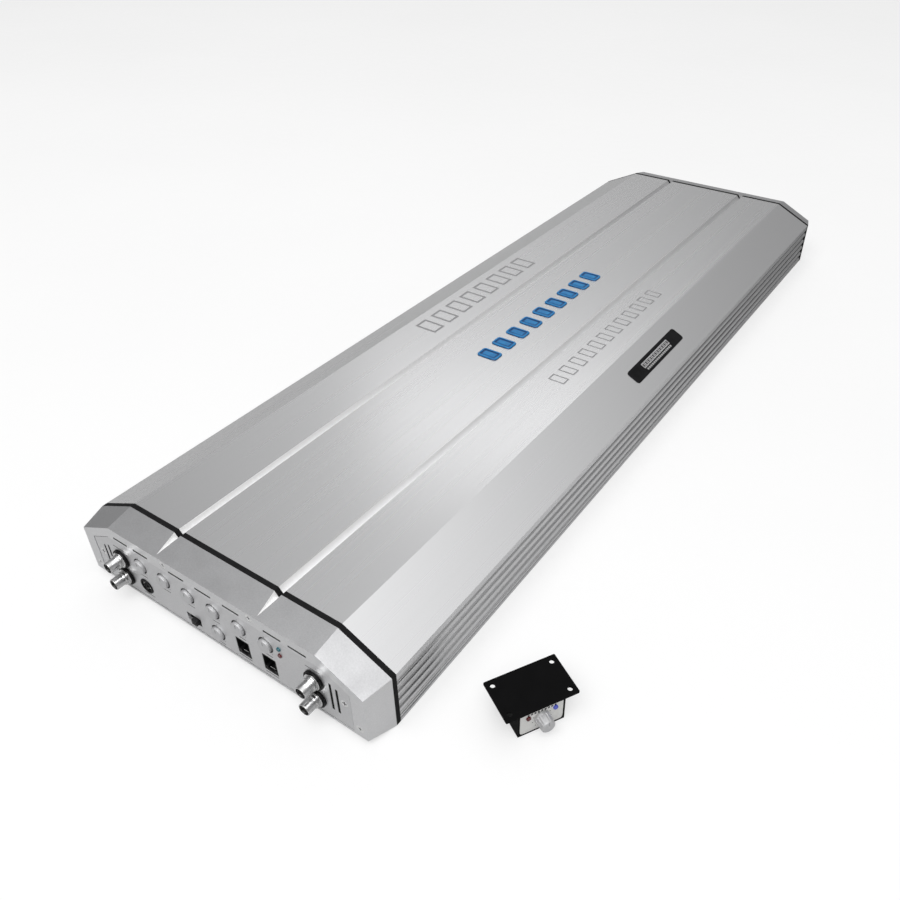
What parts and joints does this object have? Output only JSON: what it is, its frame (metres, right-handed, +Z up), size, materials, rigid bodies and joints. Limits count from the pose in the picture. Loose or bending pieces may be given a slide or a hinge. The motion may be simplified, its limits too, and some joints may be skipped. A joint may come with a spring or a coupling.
{
  "type": "car power amplifier",
  "caption": "Long flat car power amplifier in a ribbed silver housing, with turning level knobs, a slide switch and sockets at one end, and a small boxed remote level control beside it.",
  "frame": {"origin": "middle of the amplifier's flat underside", "axes": "+Y along the length from the control end to the supply end, +X to the right seen from the control end, +Z up"},
  "size_m": [0.3417, 0.8232, 0.0625],
  "materials": {
    "housing_aluminium": "satin anodised extrusion, lengthwise grain",
    "cap_aluminium": "fine bead-blasted, clear anodised",
    "panel_silver": "fine silver paint on sheet aluminium",
    "gasket_rubber": "matt black rubber",
    "screw_steel": "zinc-plated steel",
    "plate_aluminium": "mill finish sheet",
    "nickel_plate": "bright nickel plate",
    "black_plastic": "moulded black plastic",
    "contact_metal": "gold-plated brass",
    "knob_silver": "silver painted plastic cap",
    "switch_grey": "light grey plastic",
    "lamp_green": "clear teal lens",
    "lamp_red": "clear red lens",
    "lamp_blue": "clear blue lens",
    "circuit_board": "solder-masked glass-epoxy laminate",
    "pot_body": "moulded phenolic",
    "standoff_brass": "plain brass",
    "clamp_steel": "zinc-plated bar",
    "pad_grey": "grey silicone pad",
    "ferrite": "dark grey ferrite",
    "copper_winding": "enamelled copper wire",
    "capacitor_sleeve": "dark shrink sleeve",
    "emblem_blue": "glossy blue moulding",
    "badge_black": "glossy black plate",
    "remote_black": "black powder coat",
    "remote_face": "fine silver paint"
  },
  "bodies": {
    "amplifier": {"board_header": "black_plastic", "board_standoffs": "standoff_brass", "bottom_plate": "plate_aluminium", "bottom_plate_screws": "screw_steel", "control_board": "circuit_board", "end_cap_screws": "screw_steel", "filter_capacitors": "capacitor_sleeve", "front_end_cap": "cap_aluminium", "front_gasket": "gasket_rubber", "front_panel": "panel_silver", "heatsink_housing": "housing_aluminium", "inner_screws": "screw_steel", "input_rca_sockets": "nickel_plate", "jack_contacts": "contact_metal", "link_socket_contacts": "nickel_plate", "link_socket_housing": "black_plastic", "main_board": "circuit_board", "output_inductors": "copper_winding", "output_rca_sockets": "nickel_plate", "panel_screws": "screw_steel", "potentiometers": "pot_body", "power_led": "lamp_green", "power_terminals": "nickel_plate", "power_transistors": "black_plastic", "protect_led": "lamp_red", "rca_contacts": "contact_metal", "rca_insulators": "black_plastic", "rca_nuts": "nickel_plate", "rear_end_cap": "cap_aluminium", "rear_gasket": "gasket_rubber", "rear_panel": "panel_silver", "remote_input_jack": "black_plastic", "remote_output_jack": "black_plastic", "shoulder_badge": "badge_black", "slide_switch_housing": "black_plastic", "speaker_terminals": "nickel_plate", "terminal_housings": "black_plastic", "terminal_screws": "screw_steel", "thermal_strips": "pad_grey", "top_emblem": "emblem_blue", "transformer_cores": "ferrite", "transformer_windings": "copper_winding", "transistor_clamp_bars": "clamp_steel"},
    "input_gain_knob": {"input_gain_knob": "knob_silver"},
    "bass_boost_knob": {"bass_boost_knob": "knob_silver"},
    "boost_frequency_knob": {"boost_frequency_knob": "knob_silver"},
    "low_pass_knob": {"low_pass_knob": "knob_silver"},
    "subsonic_filter_knob": {"subsonic_filter_knob": "knob_silver"},
    "phase_shift_knob": {"phase_shift_knob": "knob_silver"},
    "output_level_knob": {"output_level_knob": "knob_silver"},
    "mode_switch": {"slide_switch_nub": "switch_grey"},
    "remote": {"remote_housing": "remote_black", "remote_flange": "remote_black", "remote_faceplate": "remote_face", "remote_potentiometer": "pot_body", "remote_board": "circuit_board", "remote_jack": "black_plastic", "remote_level_led": "lamp_red", "remote_power_led": "lamp_blue"},
    "remote_knob": {"remote_knob": "knob_silver"}
  },
  "joints": [
    {"name": "input_gain_turn", "type": "hinge", "parent": "amplifier", "child": "input_gain_knob", "pos_m": [-0.0661, -0.4, 0.0365], "axis": [0, 1, 0], "range_deg": [-140, 140]},
    {"name": "bass_boost_turn", "type": "hinge", "parent": "amplifier", "child": "bass_boost_knob", "pos_m": [-0.0432, -0.4, 0.0365], "axis": [0, 1, 0], "range_deg": [-140, 140]},
    {"name": "boost_frequency_turn", "type": "hinge", "parent": "amplifier", "child": "boost_frequency_knob", "pos_m": [-0.0203, -0.4, 0.0365], "axis": [0, 1, 0], "range_deg": [-140, 140]},
    {"name": "low_pass_turn", "type": "hinge", "parent": "amplifier", "child": "low_pass_knob", "pos_m": [0.0026, -0.4, 0.0365], "axis": [0, 1, 0], "range_deg": [-140, 140]},
    {"name": "subsonic_filter_turn", "type": "hinge", "parent": "amplifier", "child": "subsonic_filter_knob", "pos_m": [0.0255, -0.4, 0.0365], "axis": [0, 1, 0], "range_deg": [-140, 140]},
    {"name": "phase_shift_turn", "type": "hinge", "parent": "amplifier", "child": "phase_shift_knob", "pos_m": [0.0484, -0.4, 0.0365], "axis": [0, 1, 0], "range_deg": [-140, 140]},
    {"name": "output_level_turn", "type": "hinge", "parent": "amplifier", "child": "output_level_knob", "pos_m": [0.0026, -0.4, 0.017], "axis": [0, 1, 0], "range_deg": [-140, 140]},
    {"name": "mode_switch_slide", "type": "slide", "parent": "amplifier", "child": "mode_switch", "axis": [-1, 0, 0], "range_m": [0, 0.004]},
    {"name": "remote_lift", "type": "slide", "parent": "amplifier", "child": "remote", "axis": [0, 0, 1], "range_m": [0, 0.15]},
    {"name": "remote_level_turn", "type": "hinge", "parent": "remote", "child": "remote_knob", "pos_m": [0.19969, -0.33475, 0.011], "axis": [-0.866, 0.5, 0], "range_deg": [-140, 140]}
  ]
}
